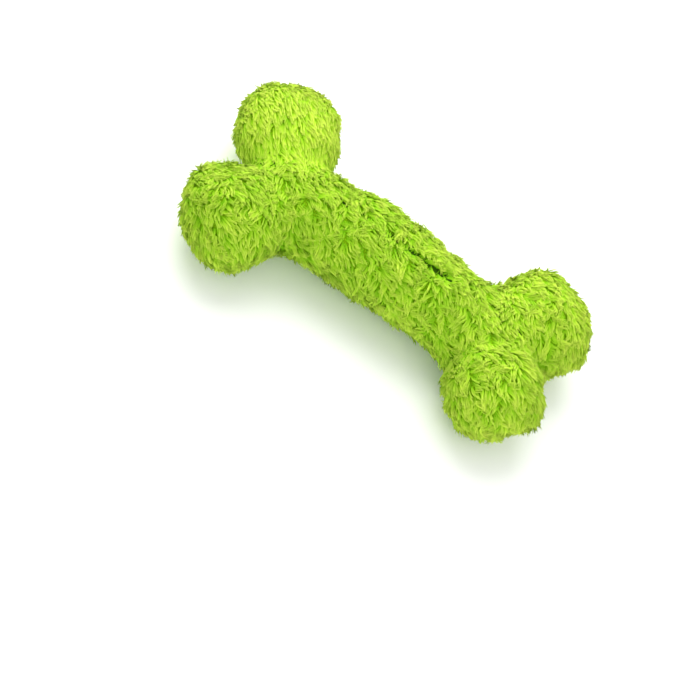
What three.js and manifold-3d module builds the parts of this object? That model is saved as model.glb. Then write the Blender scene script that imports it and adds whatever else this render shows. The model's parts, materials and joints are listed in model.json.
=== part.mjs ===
// A stuffed fleece bone with a squeaker inside, in millimetres, +Z up.
// It lies flat: X runs along the shaft, -Y is the front, and z = 0 is the floor under the four knobs.
import * as THREE from 'three';
import { mergeVertices } from 'three/addons/utils/BufferGeometryUtils.js';
import Module from 'manifold-3d';

const wasm = await Module();
wasm.setup();

// Cover, measured over the pile. A knob's reach is along the shaft and its spread across it.
const knobRadius = 31;
const smallKnobRadius = 28.5;
const backReach = 86;
const leftFrontReach = 82.5;
const rightFrontReach = 84;
const leftSpread = 32.5;
const rightBackSpread = 26;
const rightFrontSpread = 28;
const knobHeight = 55;
const floorFlat = 0.5;
const shaftLength = 190;
const shaftEndRound = 28;
const shaftBellyWidth = 58;
const shaftBellyAt = -15;
const shaftNeckWidth = 45;
const shaftHeight = 51;
const fleeceThickness = 6;
const webReach = 70;
const webLength = 58;
const webHeight = 48;

// Sewing: one seam round the edge, and a slit on top of the shaft that is closed by hand after stuffing.
const threadThickness = 0.8;
const threadDepth = 1.5;
const slitLength = 55;
const slitMiddle = 16;
const slitWidth = 1;
const slitDipLength = 80;
const slitDipWidth = 14;
const slitDipDepth = 2.4;
const stitchPitch = 5;
const stitchBite = 2;

// Squeaker, a round bellows that stands on the shaft's centre line, with its reed in the base.
const squeakerDiameter = 28;
const squeakerHeight = 18;
const squeakerWall = 1.2;
const squeakerLip = 3;
const bellowsPleats = 3;
const bellowsFold = 3;
const bellowsWall = 0.8;
const reedTubeDiameter = 8.4;
const reedTubeBore = 6;
const reedTubeRise = 6.5;
const reedFlangeDiameter = 12;
const reedFlangeThickness = 1;
const reedLedge = 1;
const reedAirHole = 3;
const reedThickness = 0.4;
const reedWidth = 3.4;
const reedRoot = 2;
const reedRelief = 0.7;
const reedTopClear = 0.5;

// Clearances
const softGap = 0.3;
const wellGap = 0.7;
const fitGap = 0.3;

// Facets
const fineMesh = { facets: 20, rings: 9 };
const coarseMesh = { facets: 14, rings: 7 };
const shaftStations = 7;
const noseStations = 3;
const tubeFacets = 24;

// Levels from the floor, then the reed's levels from the underside of the squeaker's base
const middleHeight = knobHeight / 2 - floorFlat;
const squeakerBottom = middleHeight - squeakerHeight / 2;
const squeakerTop = middleHeight + squeakerHeight / 2;
const reedTubeFoot = -fitGap - reedFlangeThickness;
const reedTubeTop = squeakerWall + reedTubeRise;
const reedFoot = reedTubeFoot + reedLedge + fitGap;
const reedTip = reedTubeTop - reedTopClear;
const beyond = 2 * shaftLength;

const knobs = [
  { name: 'left_back', reach: -backReach, spread: leftSpread, radius: knobRadius },
  { name: 'left_front', reach: -leftFrontReach, spread: -leftSpread, radius: knobRadius },
  { name: 'right_back', reach: backReach, spread: rightBackSpread, radius: knobRadius },
  { name: 'right_front', reach: rightFrontReach, spread: -rightFrontSpread, radius: smallKnobRadius },
];

// Solids and meshes

function solidOf(geometry) {
  const bare = geometry.clone();
  bare.deleteAttribute('normal');
  bare.deleteAttribute('uv');
  const merged = mergeVertices(bare, 1e-4);
  const corners = merged.index.array;
  const kept = [];
  for (let i = 0; i < corners.length; i += 3) {
    const [a, b, c] = corners.slice(i, i + 3);
    if (a !== b && b !== c && a !== c) kept.push(a, b, c);
  }
  const solid = manifoldOf(merged.attributes.position.array, kept);
  return solid.volume() > 0 ? solid : manifoldOf(merged.attributes.position.array, kept.reverse());
}

function manifoldOf(vertProperties, corners) {
  return new wasm.Manifold(new wasm.Mesh({ numProp: 3, vertProperties, triVerts: new Uint32Array(corners) }));
}

function joined(solids) {
  return solids.reduce((whole, piece) => whole.add(piece));
}

// A box between two values on each axis
function block([x0, x1], [y0, y1], [z0, z1]) {
  const box = new THREE.BoxGeometry(x1 - x0, y1 - y0, z1 - z0);
  return solidOf(box.translate((x0 + x1) / 2, (y0 + y1) / 2, (z0 + z1) / 2));
}

// A turned piece about Z. The profile is [radius, height] pairs, and it closes on itself or on the axis.
function turned(profile) {
  const points = profile.map(([radius, height]) => new THREE.Vector2(radius, height));
  if (profile[0][0] > 0) points.push(points[0].clone());
  return solidOf(new THREE.LatheGeometry(points, tubeFacets).rotateX(Math.PI / 2));
}

function plug(radius, low, high) {
  return turned([[0, low], [radius, low], [radius, high], [0, high]]);
}

// A round form from its middle and its full size
function ball(middle, size, { facets, rings }) {
  const round = new THREE.SphereGeometry(0.5, facets, rings).rotateX(Math.PI / 2);
  return solidOf(round.scale(...size).translate(...middle));
}

function meshOf(name, solid, material) {
  const { vertProperties, triVerts } = solid.getMesh();
  const geometry = new THREE.BufferGeometry();
  geometry.setAttribute('position', new THREE.BufferAttribute(vertProperties, 3));
  geometry.setIndex(new THREE.BufferAttribute(triVerts, 1));
  geometry.computeVertexNormals();
  const mesh = new THREE.Mesh(geometry, material);
  mesh.name = name;
  return mesh;
}

// Materials

function finish(color, roughness) {
  return new THREE.MeshStandardMaterial({ color, roughness, metalness: 0 });
}

const limeFleece = finish(0x9fcb38, 0.95);
const limeThread = finish(0x86b52a, 0.8);
const polyesterFill = finish(0xf4f3ee, 1);
const softPolyethylene = finish(0xe9ecea, 0.45);
const hardPolystyrene = finish(0xf6f4ec, 0.3);
const reedFilm = finish(0xd8dcd2, 0.25);

// The bone's own form: a waisted shaft and four plump knobs, each inset from the outside of the pile

// A knob's middle band of facets stands upright at the knob's full radius
function knobForm({ reach, spread, radius }, inset, mesh) {
  const width = (2 * (radius - inset)) / Math.cos(Math.PI / 2 / mesh.rings);
  return ball([reach, spread, middleHeight], [width, width, knobHeight - 2 * inset], mesh);
}

// The shaft swells at its belly, tapers both ways and has a round nose at each end, between the knobs.
// It has a flat of one facet on top, below and on each side, at its full height and width.
function shaftForm(inset, { facets }) {
  const straight = shaftLength / 2 - shaftEndRound;
  const nose = shaftEndRound - inset;
  const belly = shaftBellyWidth / 2;
  const halfWidth = (x) => {
    const away = (x - shaftBellyAt) / (straight - shaftBellyAt);
    return belly - (belly - shaftNeckWidth / 2) * away * away - inset;
  };
  const points = [];
  for (let i = 0; i <= shaftStations; i++) {
    const x = straight * ((2 * i) / shaftStations - 1);
    points.push(new THREE.Vector2(halfWidth(x), x));
  }
  for (let i = 1; i <= noseStations; i++) {
    const turn = (Math.PI / 2) * (i / noseStations);
    const shrink = i < noseStations ? Math.cos(turn) : 0;
    const x = straight + nose * Math.sin(turn);
    points.push(new THREE.Vector2(halfWidth(straight) * shrink, x));
    points.unshift(new THREE.Vector2(halfWidth(-straight) * shrink, -x));
  }
  const halfFacet = Math.PI / facets;
  const body = new THREE.LatheGeometry(points, facets, halfFacet).rotateZ(-Math.PI / 2);
  const toCorner = 1 / Math.cos(halfFacet);
  const flatten = (shaftHeight / 2 - inset) / (belly - inset);
  return solidOf(body.scale(1, toCorner, toCorner * flatten).translate(0, 0, middleHeight));
}

function boneForm(inset, mesh) {
  return joined([shaftForm(inset, mesh), ...knobs.map((knob) => knobForm(knob, inset, mesh))]);
}

// Taut fleece bridges the hollow between an end of the shaft and the middles of its two knobs
function webForm([back, front]) {
  const middle = [Math.sign(back.reach) * webReach, (back.spread + front.spread) / 2, middleHeight];
  return ball(middle, [webLength, back.spread - front.spread, webHeight], coarseMesh);
}

// Along the closed slit the stitches draw the fleece in
function slitDip() {
  const middle = [slitMiddle, 0, middleHeight + shaftHeight / 2];
  return ball(middle, [slitDipLength, slitDipWidth, 2 * slitDipDepth], coarseMesh);
}

function coverForm() {
  const webs = [knobs.slice(0, 2), knobs.slice(2)].map(webForm);
  return joined([boneForm(0, fineMesh), ...webs]).subtract(slitDip());
}

function slab(low, high) {
  return block([-beyond, beyond], [-beyond, beyond], [low, high]);
}

// The seam thread lies between the two panels all round the bone, near their inner edge

function seamThread() {
  const inner = fleeceThickness - threadDepth;
  const ring = boneForm(inner - threadThickness, fineMesh).subtract(boneForm(inner, fineMesh));
  return ring.intersect(slab(middleHeight - threadThickness / 2, middleHeight + threadThickness / 2));
}

// Ladder stitches: runs along each lip of the slit in turn, joined by bars across it

function ladderStitches() {
  const half = threadThickness / 2;
  const level = middleHeight + shaftHeight / 2 - fleeceThickness + threadDepth + threadThickness / 2;
  const bite = slitWidth / 2 + stitchBite;
  const count = Math.floor(slitLength / stitchPitch);
  const start = slitMiddle - (count * stitchPitch) / 2;
  const thread = ([x0, x1], [y0, y1]) =>
    block([x0 - half, x1 + half], [y0 - half, y1 + half], [level - half, level + half]);
  const pieces = [];
  for (let i = 0; i < count; i++) {
    const lip = i % 2 ? bite : -bite;
    const from = start + i * stitchPitch;
    const to = from + stitchPitch;
    pieces.push(thread([from, to], [lip, lip]));
    if (i < count - 1) pieces.push(thread([to, to], [-bite, bite]));
  }
  return joined(pieces);
}

// The slit's lips are turned in, and the stitches run in the hollow of the fold
function stitchHollow() {
  const { min, max } = ladderStitches().boundingBox();
  return block(...[0, 1, 2].map((axis) => [min[axis] - fitGap, max[axis] + fitGap]));
}

// Fleece panels, sewn together all round the bone at mid height

const coverShell = coverForm().subtract(boneForm(fleeceThickness, coarseMesh));
const seamHalfGap = threadThickness / 2 + fitGap;

function upperPanel() {
  const half = coverShell.intersect(slab(middleHeight + seamHalfGap, beyond));
  const from = slitMiddle - slitLength / 2;
  const slit = block([from, from + slitLength], [-slitWidth / 2, slitWidth / 2], [middleHeight, beyond]);
  return half.subtract(slit).subtract(stitchHollow());
}

function lowerPanel() {
  return coverShell.intersect(slab(0, middleHeight - seamHalfGap));
}

// Stuffing. The shaft's two wads meet at the middle and leave a well for the squeaker and the pad over it.

const shaftStuffing = shaftForm(fleeceThickness + softGap, coarseMesh);

function shaftWad(side) {
  const across = [(side * softGap) / 2, side * beyond].sort((a, b) => a - b);
  const half = block(across, [-beyond, beyond], [0, beyond]);
  const wellFloor = squeakerBottom + reedTubeFoot - softGap;
  const well = plug(squeakerDiameter / 2 + wellGap, wellFloor, beyond);
  return shaftStuffing.intersect(half).subtract(well);
}

function squeakerPad() {
  return plug(squeakerDiameter / 2, squeakerTop + softGap, beyond).intersect(shaftStuffing);
}

function knobWad(index) {
  const whole = knobForm(knobs[index], fleeceThickness + softGap, coarseMesh);
  const larger = [shaftForm(fleeceThickness, coarseMesh)];
  knobs.slice(0, index).forEach((knob) => larger.push(knobForm(knob, fleeceThickness, coarseMesh)));
  return larger.reduce((rest, form) => rest.subtract(form), whole);
}

// Squeaker pieces, measured from the underside of its base

function squeakerBase() {
  const outer = squeakerDiameter / 2;
  const hole = reedTubeDiameter / 2 + fitGap;
  return turned([
    [hole, 0],
    [outer, 0],
    [outer, squeakerLip],
    [outer - squeakerWall, squeakerLip],
    [outer - squeakerWall, squeakerWall],
    [hole, squeakerWall],
  ]);
}

function squeakerCap() {
  const outer = squeakerDiameter / 2;
  const shoulder = squeakerWall;
  return turned([
    [0, squeakerHeight - squeakerWall],
    [outer - squeakerWall, squeakerHeight - squeakerWall],
    [outer - squeakerWall, squeakerHeight - squeakerLip],
    [outer, squeakerHeight - squeakerLip],
    [outer, squeakerHeight - shoulder],
    [outer - shoulder, squeakerHeight],
    [0, squeakerHeight],
  ]);
}

function squeakerBellows() {
  const crest = squeakerDiameter / 2 - squeakerWall - fitGap;
  const low = squeakerWall + fitGap;
  const rise = squeakerHeight - 2 * low;
  const outside = [];
  for (let i = 0; i <= 2 * bellowsPleats; i++) {
    outside.push([i % 2 ? crest - bellowsFold : crest, low + (rise * i) / (2 * bellowsPleats)]);
  }
  const inside = outside.map(([radius, height]) => [radius - bellowsWall, height]).reverse();
  return turned([...outside, ...inside]);
}

function reedTube() {
  const outer = reedTubeDiameter / 2;
  const flange = reedFlangeDiameter / 2;
  const bore = reedTubeBore / 2;
  const flangeTop = reedTubeFoot + reedFlangeThickness;
  const ledgeTop = reedTubeFoot + reedLedge;
  return turned([
    [reedAirHole / 2, reedTubeFoot],
    [flange, reedTubeFoot],
    [flange, flangeTop],
    [outer, flangeTop],
    [outer, reedTubeTop],
    [bore, reedTubeTop],
    [bore, ledgeTop],
    [reedAirHole / 2, ledgeTop],
  ]);
}

// A half-round plug beside the reed. Its flat face holds the reed's root and is relieved above it.
function reedClamp() {
  const face = -reedThickness / 2 - fitGap;
  const airWay = block([face, beyond], [-beyond, beyond], [-beyond, beyond]);
  const relief = block([face - reedRelief, beyond], [-beyond, beyond], [reedFoot + reedRoot, beyond]);
  return plug(reedTubeBore / 2 - fitGap, reedFoot, reedTip).subtract(airWay).subtract(relief);
}

function reedTongue() {
  const half = [reedThickness / 2, reedWidth / 2];
  return block([-half[0], half[0]], [-half[1], half[1]], [reedFoot, reedTip]);
}

// Assembly

const bone = new THREE.Group();

const cover = new THREE.Group();
cover.add(meshOf('upper_fleece_panel', upperPanel(), limeFleece));
cover.add(meshOf('lower_fleece_panel', lowerPanel(), limeFleece));
cover.add(meshOf('edge_seam_thread', seamThread(), limeThread));
cover.add(meshOf('closing_stitches', ladderStitches(), limeThread));
bone.add(cover);

const stuffing = new THREE.Group();
stuffing.add(meshOf('shaft_fill_left', shaftWad(-1), polyesterFill));
stuffing.add(meshOf('shaft_fill_right', shaftWad(1), polyesterFill));
stuffing.add(meshOf('squeaker_fill_pad', squeakerPad(), polyesterFill));
knobs.forEach(({ name }, index) => stuffing.add(meshOf(`knob_fill_${name}`, knobWad(index), polyesterFill)));
bone.add(stuffing);

const squeaker = new THREE.Group();
squeaker.position.z = squeakerBottom;
squeaker.add(meshOf('squeaker_base', squeakerBase(), softPolyethylene));
squeaker.add(meshOf('squeaker_bellows', squeakerBellows(), softPolyethylene));
squeaker.add(meshOf('squeaker_cap', squeakerCap(), softPolyethylene));
squeaker.add(meshOf('reed_tube', reedTube(), hardPolystyrene));
squeaker.add(meshOf('reed_clamp', reedClamp(), hardPolystyrene));
squeaker.add(meshOf('reed_tongue', reedTongue(), reedFilm));
bone.add(squeaker);

export default bone;
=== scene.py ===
import json
import math
import bpy
import numpy as np
from mathutils import Matrix, Vector
from mathutils.bvhtree import BVHTree
from mathutils.kdtree import KDTree


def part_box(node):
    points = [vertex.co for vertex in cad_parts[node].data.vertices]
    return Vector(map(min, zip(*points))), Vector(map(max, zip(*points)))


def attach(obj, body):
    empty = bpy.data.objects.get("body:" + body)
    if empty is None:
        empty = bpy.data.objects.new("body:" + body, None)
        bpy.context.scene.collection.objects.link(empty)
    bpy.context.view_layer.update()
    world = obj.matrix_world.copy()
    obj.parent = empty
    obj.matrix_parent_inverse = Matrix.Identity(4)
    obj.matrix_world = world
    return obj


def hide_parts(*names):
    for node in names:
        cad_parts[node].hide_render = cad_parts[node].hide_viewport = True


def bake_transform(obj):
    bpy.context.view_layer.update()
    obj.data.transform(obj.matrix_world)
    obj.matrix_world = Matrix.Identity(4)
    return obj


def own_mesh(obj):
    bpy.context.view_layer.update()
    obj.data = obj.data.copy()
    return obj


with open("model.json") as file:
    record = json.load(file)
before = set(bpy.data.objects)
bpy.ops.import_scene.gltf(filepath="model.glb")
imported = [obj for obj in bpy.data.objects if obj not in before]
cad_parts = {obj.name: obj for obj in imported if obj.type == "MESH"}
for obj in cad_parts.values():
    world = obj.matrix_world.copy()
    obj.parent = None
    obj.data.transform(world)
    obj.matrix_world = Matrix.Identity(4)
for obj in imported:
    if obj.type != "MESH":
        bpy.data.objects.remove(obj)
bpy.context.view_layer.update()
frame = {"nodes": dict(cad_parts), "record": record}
scene = bpy.context.scene
scene.view_settings.view_transform = "Standard"
bpy.ops.object.select_all(action="DESELECT")
print("stage: frame loaded")


# small helpers

def linear(hexColour):
    # sRGB hex to the linear values that sockets take
    parts = [int(hexColour[i:i + 2], 16) / 255 for i in (1, 3, 5)]
    return [c / 12.92 if c <= 0.04045 else ((c + 0.055) / 1.055) ** 2.4 for c in parts] + [1.0]


def addNode(tree, kind, settings=None, links=None):
    # a shader node, its values and what feeds it
    node = tree.nodes.new(kind)
    for key, value in (settings or {}).items():
        if isinstance(key, int) or key in node.inputs:
            node.inputs[key].default_value = value
        else:
            setattr(node, key, value)
    for key, source in (links or {}).items():
        tree.links.new(source, node.inputs[key])
    return node


def newMaterial(name):
    material = bpy.data.materials.new(name)
    material.use_nodes = True
    material.node_tree.nodes.clear()
    return material, material.node_tree


def finishMaterial(tree, settings, links):
    shader = addNode(tree, "ShaderNodeBsdfPrincipled", settings, links)
    addNode(tree, "ShaderNodeOutputMaterial", {}, {"Surface": shader.outputs[0]})


def objectPlace(tree):
    return addNode(tree, "ShaderNodeTexCoord").outputs["Object"]


def addMath(tree, operation, *sources):
    settings = {"operation": operation}
    return addNode(tree, "ShaderNodeMath", settings, dict(enumerate(sources))).outputs[0]


def addBump(tree, strength, depth, height):
    settings = {"Strength": strength, "Distance": depth}
    return addNode(tree, "ShaderNodeBump", settings, {"Height": height}).outputs[0]


def addRamp(tree, source, stops):
    node = addNode(tree, "ShaderNodeValToRGB", {}, {0: source})
    ramp = node.color_ramp
    while len(ramp.elements) > len(stops):
        ramp.elements.remove(ramp.elements[-1])
    while len(ramp.elements) < len(stops):
        ramp.elements.new(1.0)
    for element, (place, hexColour) in zip(ramp.elements, stops):
        element.position = place
        element.color = linear(hexColour)
    return node.outputs[0]


def newObject(name, data):
    piece = bpy.data.objects.new(name, data)
    scene.collection.objects.link(piece)
    return piece


def activate(piece):
    bpy.ops.object.select_all(action="DESELECT")
    piece.select_set(True)
    bpy.context.view_layer.objects.active = piece


def editAll(piece):
    activate(piece)
    bpy.ops.object.mode_set(mode="EDIT")
    bpy.ops.mesh.select_all(action="SELECT")


def leaveEdit():
    bpy.ops.object.mode_set(mode="OBJECT")


def applyModifier(piece, kind, **settings):
    activate(piece)
    modifier = piece.modifiers.new(kind.lower(), kind)
    for key, value in settings.items():
        setattr(modifier, key, value)
    bpy.ops.object.modifier_apply(modifier=modifier.name)


def shadeSmooth(piece):
    activate(piece)
    bpy.ops.object.shade_smooth()


def readPoints(mesh):
    points = np.empty(len(mesh.vertices) * 3, np.float32)
    mesh.vertices.foreach_get("co", points)
    return points.reshape(-1, 3).astype(float)


def readNormals(mesh):
    return np.array([vertex.normal for vertex in mesh.vertices])


def writePoints(mesh, points):
    mesh.vertices.foreach_set("co", np.asarray(points, np.float32).ravel())
    mesh.update()


def waves(points, length, seed, count=6):
    # a smooth field of about -1 to 1: a few seeded sine waves of about this length
    rng = np.random.default_rng(seed)
    ways = rng.normal(size=(count, 3))
    ways /= np.linalg.norm(ways, axis=1)[:, None]
    steps = ways * (2 * math.pi / (length * rng.uniform(0.7, 1.4, count)))[:, None]
    return np.sin(points @ steps.T + rng.uniform(0, 2 * math.pi, count)).sum(1) / math.sqrt(count)


def swell(points, height, length, seed):
    return height * waves(points, length, seed)


def slopeOf(points, length, seed):
    # how that field climbs, times length / 2 pi, so that it is of about -1 to 1 too
    step = length / 100
    here = waves(points, length, seed)
    ahead = np.stack([waves(points + step * np.eye(3)[i], length, seed) for i in range(3)], 1)
    return (ahead - here[:, None]) / step * length / (2 * math.pi)


def unit(vectors):
    return vectors / np.maximum(np.linalg.norm(vectors, axis=1), 1e-9)[:, None]


def rampUp(values, low, high):
    t = np.clip((values - low) / (high - low), 0, 1)
    return t * t * (3 - 2 * t)


# camera, where the photograph was taken from

view = {
    "azimuth": 0.11, "elevation": 55.0, "roll": 34.83,  # degrees
    "distance": 0.90571, "target": (0.00854, -0.04051, -0.00138),
    "fieldOfView": 24.0, "sensor": 36,
}


def placeCamera():
    a, e, r = (math.radians(view[k]) for k in ("azimuth", "elevation", "roll"))
    back = Vector((math.sin(a) * math.cos(e), -math.cos(a) * math.cos(e), math.sin(e)))
    level = Vector((0, 0, 1)).cross(back).normalized()
    upright = back.cross(level)
    right = math.cos(r) * level + math.sin(r) * upright
    up = back.cross(right)
    lens = bpy.data.cameras.new("photo_camera")
    lens.sensor_fit = "HORIZONTAL"
    lens.sensor_width = view["sensor"]
    lens.lens = view["sensor"] / 2 / math.tan(math.radians(view["fieldOfView"] / 2))
    camera = newObject("photo_camera", lens)
    turn = Matrix((right, up, back)).transposed().to_4x4()
    camera.matrix_world = Matrix.Translation(Vector(view["target"]) + view["distance"] * back) @ turn
    scene.camera = camera


placeCamera()
print("stage: camera")


# studio: a white table, one broad lamp behind and above, and pale light from all round

studio = {
    "floorHalf": 0.8, "floorColour": "#fbfbfb",
    "lamp": (-0.32, 0.42, 0.68), "lampAim": (0, 0, 0.02), "lampSize": 0.9, "lampWatts": 7.5,
    "fill": (0.5, -0.9, 0.85), "fillSize": 1.2, "fillWatts": 3.5,
    "worldLight": 0.92,
}


def addLamp(name, place, size, watts):
    lamp = bpy.data.lights.new(name, "AREA")
    lamp.size = size
    lamp.energy = watts
    holder = newObject(name, lamp)
    holder.location = place
    aim = Vector(studio["lampAim"]) - Vector(place)
    holder.rotation_euler = aim.to_track_quat("-Z", "Y").to_euler()


def buildStudio():
    addLamp("window_lamp", studio["lamp"], studio["lampSize"], studio["lampWatts"])
    addLamp("front_fill_lamp", studio["fill"], studio["fillSize"], studio["fillWatts"])
    world = bpy.data.worlds.new("studio_light")
    scene.world = world
    world.use_nodes = True
    tree = world.node_tree
    tree.nodes.clear()
    path = addNode(tree, "ShaderNodeLightPath")
    seen = addMath(tree, "MAXIMUM", path.outputs["Is Camera Ray"], path.outputs["Is Glossy Ray"])
    seen = addMath(tree, "MAXIMUM", seen, path.outputs["Is Transmission Ray"])
    light = addNode(tree, "ShaderNodeBackground", {"Color": (1, 1, 1, 1), "Strength": studio["worldLight"]})
    white = addNode(tree, "ShaderNodeBackground", {"Color": (1, 1, 1, 1), "Strength": 1.0})
    mix = addNode(tree, "ShaderNodeMixShader", {}, {0: seen, 1: light.outputs[0], 2: white.outputs[0]})
    addNode(tree, "ShaderNodeOutputWorld", {}, {"Surface": mix.outputs[0]})

    bpy.ops.mesh.primitive_plane_add(size=2 * studio["floorHalf"])
    floor = bpy.context.object
    floor.name = "studio_floor"
    material, tree = newMaterial("matt_white_card")  # even and matt, only the soft shadow shows on it
    card = linear(studio["floorColour"])
    finishMaterial(tree, {"Base Color": card, "Roughness": 0.95, "Specular IOR Level": 0.1}, {})
    floor.data.materials.append(material)


buildStudio()
print("stage: studio")


# facts read from the frame

seamLow, seamHigh = (Vector(corner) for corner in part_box("edge_seam_thread"))
seamLevel = (seamLow.z + seamHigh.z) / 2
slitLow, slitHigh = (Vector(corner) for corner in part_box("closing_stitches"))
slitStart, slitEnd = slitLow.x, slitHigh.x
knobs = {}
for mount in frame["record"]["mounts"]:
    knobName = mount["name"].replace("rest_", "")
    low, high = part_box("knob_fill_" + knobName)
    x, y = mount["pos_m"][:2]
    knobs[knobName] = (x, y, (high[0] - x if x > 0 else x - low[0]))
wadNodes = ["shaft_fill_left", "shaft_fill_right", "squeaker_fill_pad"] + ["knob_fill_" + k for k in knobs]


# cover: the knitted backing, a skin over the wads that air pressure fills out

cover = {
    "overWads": 0.0034,        # the skin stands this far outside the wads
    "voxel": 0.003, "smoothShare": 0.5, "smoothTurns": 4,
    # taut cloth bridges the creases away from the seam
    "bridgeTurns": 90, "bridgeShare": 0.9, "bridgeFrom": 0.004, "bridgeTo": 0.015,
    "simScale": 10.0, "pressure": 40.0, "tension": 5.0, "bending": 0.1, "frames": 20,
    "puffLimit": 0.0022,       # the most that the skin may move
    "quickPuff": 0.3,
    "seamHold": 0.0018,        # half height of the band that the edge seam holds in
    "lumps": (0.0006, 0.024, 11),  # height, length and seed
    # pushes and tucks left by stuffing and sewing by hand: place, reach and move in millimetres
    "handMoves": [
        ((-112, 38, 30), 24, (-4.5, 2, 1.4)),  # left back knob, drawn out with a squared corner
        ((-104, 55, 38), 18, (-2.1, -0.3, -0.2)),
        ((-113, 24, 24), 18, (-0.8, -0.5, -0.4)),
        ((-88, 58, 41), 15, (0.1, 3.6, 2.5)),
        ((-62, 46, 36.5), 11, (-0.8, -0.5, -0.3)),
        ((-110.7, -28.4, 29.9), 12, (-3.7, 0.8, 0.6)),  # left front knob
        ((-108.8, -22.4, 34), 12, (-1.5, 1.1, 0.7)),
        ((-94, -56, 12.5), 14, (0.6, 1.6, 1.1)),
        ((-57, -44, 19), 12, (-3.4, 1.3, 1)),
        ((-25, -24, 15), 18, (0.1, 2.7, 1.8)),  # the front of the shaft is slack
        ((5, -24, 15), 16, (0, 2.8, 1.8)),
        ((30, -24, 15), 16, (0, 1.9, 1.3)),
        ((-50, 22, 38), 9, (0.1, -2.3, -1.7)),  # and its back is fuller
        ((-20, 22, 40), 14, (0, 2.5, 1.7)),
        ((8, 20, 41), 12, (-0.1, 1.4, 0.9)),
        ((28, 22, 40), 10, (0.2, 1.1, 0.7)),
        ((56, 23, 38), 7, (-0.6, 3.1, 2.1)),
        ((108, 41.5, 37.9), 13, (-0.6, -0.3, -0.2)),  # right back knob
        ((115, 26, 25), 11, (2.8, 0.1, 0.1)),
        ((75, 49, 41.5), 13, (-0.4, 2.1, 1.4)),
        ((95, 48.6, 42.9), 11, (-0.1, 0, 0)),
        ((110.4, 13.9, 18.5), 9, (-1.1, 0.6, 0.4)),
        ((106, -1, 22), 8, (-2.2, 0, 0)),
        ((110, -27, 27.7), 10, (3.4, 0, 0)),  # right front knob
        ((103, -43, 16.5), 12, (-2.4, 2.4, 1.6)),
        ((95, -48, 13), 12, (0.9, -1.1, -0.7)),
        ((80, -55, 14), 12, (0.2, 0.8, 0.5)),
        ((105.7, -15.5, 35.7), 9, (-0.4, -0.5, -0.3)),
        ((62.3, -40.5, 18.3), 10, (0.9, 0.8, 0.5)),
        ((55, -28, 20), 9, (-1.1, -6, -4)),  # its corner with the shaft
        ((-72.4, 59.7, 39.3), 9, (0.9, 1.4, 1)),  # finer moves on all four knobs
        ((-115.7, -28.5, 29), 9, (0.5, -0.1, 0)),
        ((-100.9, -10.2, 39.6), 9, (-0.6, 1.2, 0.8)),
        ((77.7, -53.6, 13.8), 9, (-0.5, -1.3, -0.9)),
        ((63.3, -46, 19.8), 9, (-1.4, -0.7, -0.5)),
        ((114, 35.8, 33.8), 9, (0.6, 0.3, 0.2)),
        ((117.7, 21, 19.7), 9, (0.5, -0.3, -0.2)),
    ],
    # valley over the hand-sewn slit
    "partDepth": 0.0016, "partWidth": 0.003, "partRun": (-0.045, 0.05), "partEase": 0.03,
    "knit": 0.0009,            # thickness of the backing
}


def copyNodes(name, nodes):
    bpy.ops.object.select_all(action="DESELECT")
    for node in nodes:
        twin = newObject(node + "_copy", frame["nodes"][node].data.copy())
        twin.select_set(True)
        bpy.context.view_layer.objects.active = twin
    if len(nodes) > 1:
        bpy.ops.object.join()
    piece = bpy.context.view_layer.objects.active
    piece.name = piece.data.name = name
    piece.data.materials.clear()
    editAll(piece)
    bpy.ops.mesh.remove_doubles(threshold=1e-5)
    leaveEdit()
    return piece


def voxelSkin(piece, voxel):
    activate(piece)
    piece.data.remesh_voxel_size = voxel
    bpy.ops.object.voxel_remesh()
    return piece


def keepLargest(piece):
    # the outer skin only: the spaces inside the stuffing leave skins of their own
    name = piece.name
    editAll(piece)
    bpy.ops.mesh.separate(type="LOOSE")
    leaveEdit()
    parts = sorted(bpy.context.selected_objects, key=lambda part: -len(part.data.vertices))
    for part in parts[1:]:
        bpy.data.objects.remove(part, do_unlink=True)
    parts[0].name = parts[0].data.name = name
    return parts[0]


def puffOut(piece):
    # the skin is small, so the cloth is worked out at ten times its size
    rest = readPoints(piece.data)
    held = [int(i) for i in np.nonzero(np.abs(rest[:, 2] - seamLevel) < cover["seamHold"])[0]]
    writePoints(piece.data, rest * cover["simScale"])
    group = piece.vertex_groups.new(name="edge_seam")
    group.add(held, 1.0, "REPLACE")
    cloth = piece.modifiers.new("stuffed", "CLOTH")
    cloth.settings.use_pressure = True
    cloth.settings.uniform_pressure_force = cover["pressure"]
    cloth.settings.tension_stiffness = cloth.settings.compression_stiffness = cover["tension"]
    cloth.settings.bending_stiffness = cover["bending"]
    cloth.settings.vertex_group_mass = group.name
    cloth.settings.effector_weights.gravity = 0
    cloth.collision_settings.use_collision = False
    cloth.point_cache.frame_start = 1
    cloth.point_cache.frame_end = cover["frames"]
    for step in range(1, cover["frames"] + 1):
        scene.frame_set(step)
    bulged = piece.evaluated_get(bpy.context.evaluated_depsgraph_get())
    puffed = readPoints(bulged.data) / cover["simScale"]
    piece.modifiers.remove(cloth)
    piece.vertex_groups.remove(group)
    scene.frame_set(1)
    move = puffed - rest
    size = np.linalg.norm(move, axis=1)
    print("   puffed by mm: mean %.2f most %.2f" % (1000 * size.mean(), 1000 * size.max()))
    move *= (np.minimum(size, cover["puffLimit"]) / np.maximum(size, 1e-9))[:, None]
    writePoints(piece.data, rest + move)


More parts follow.
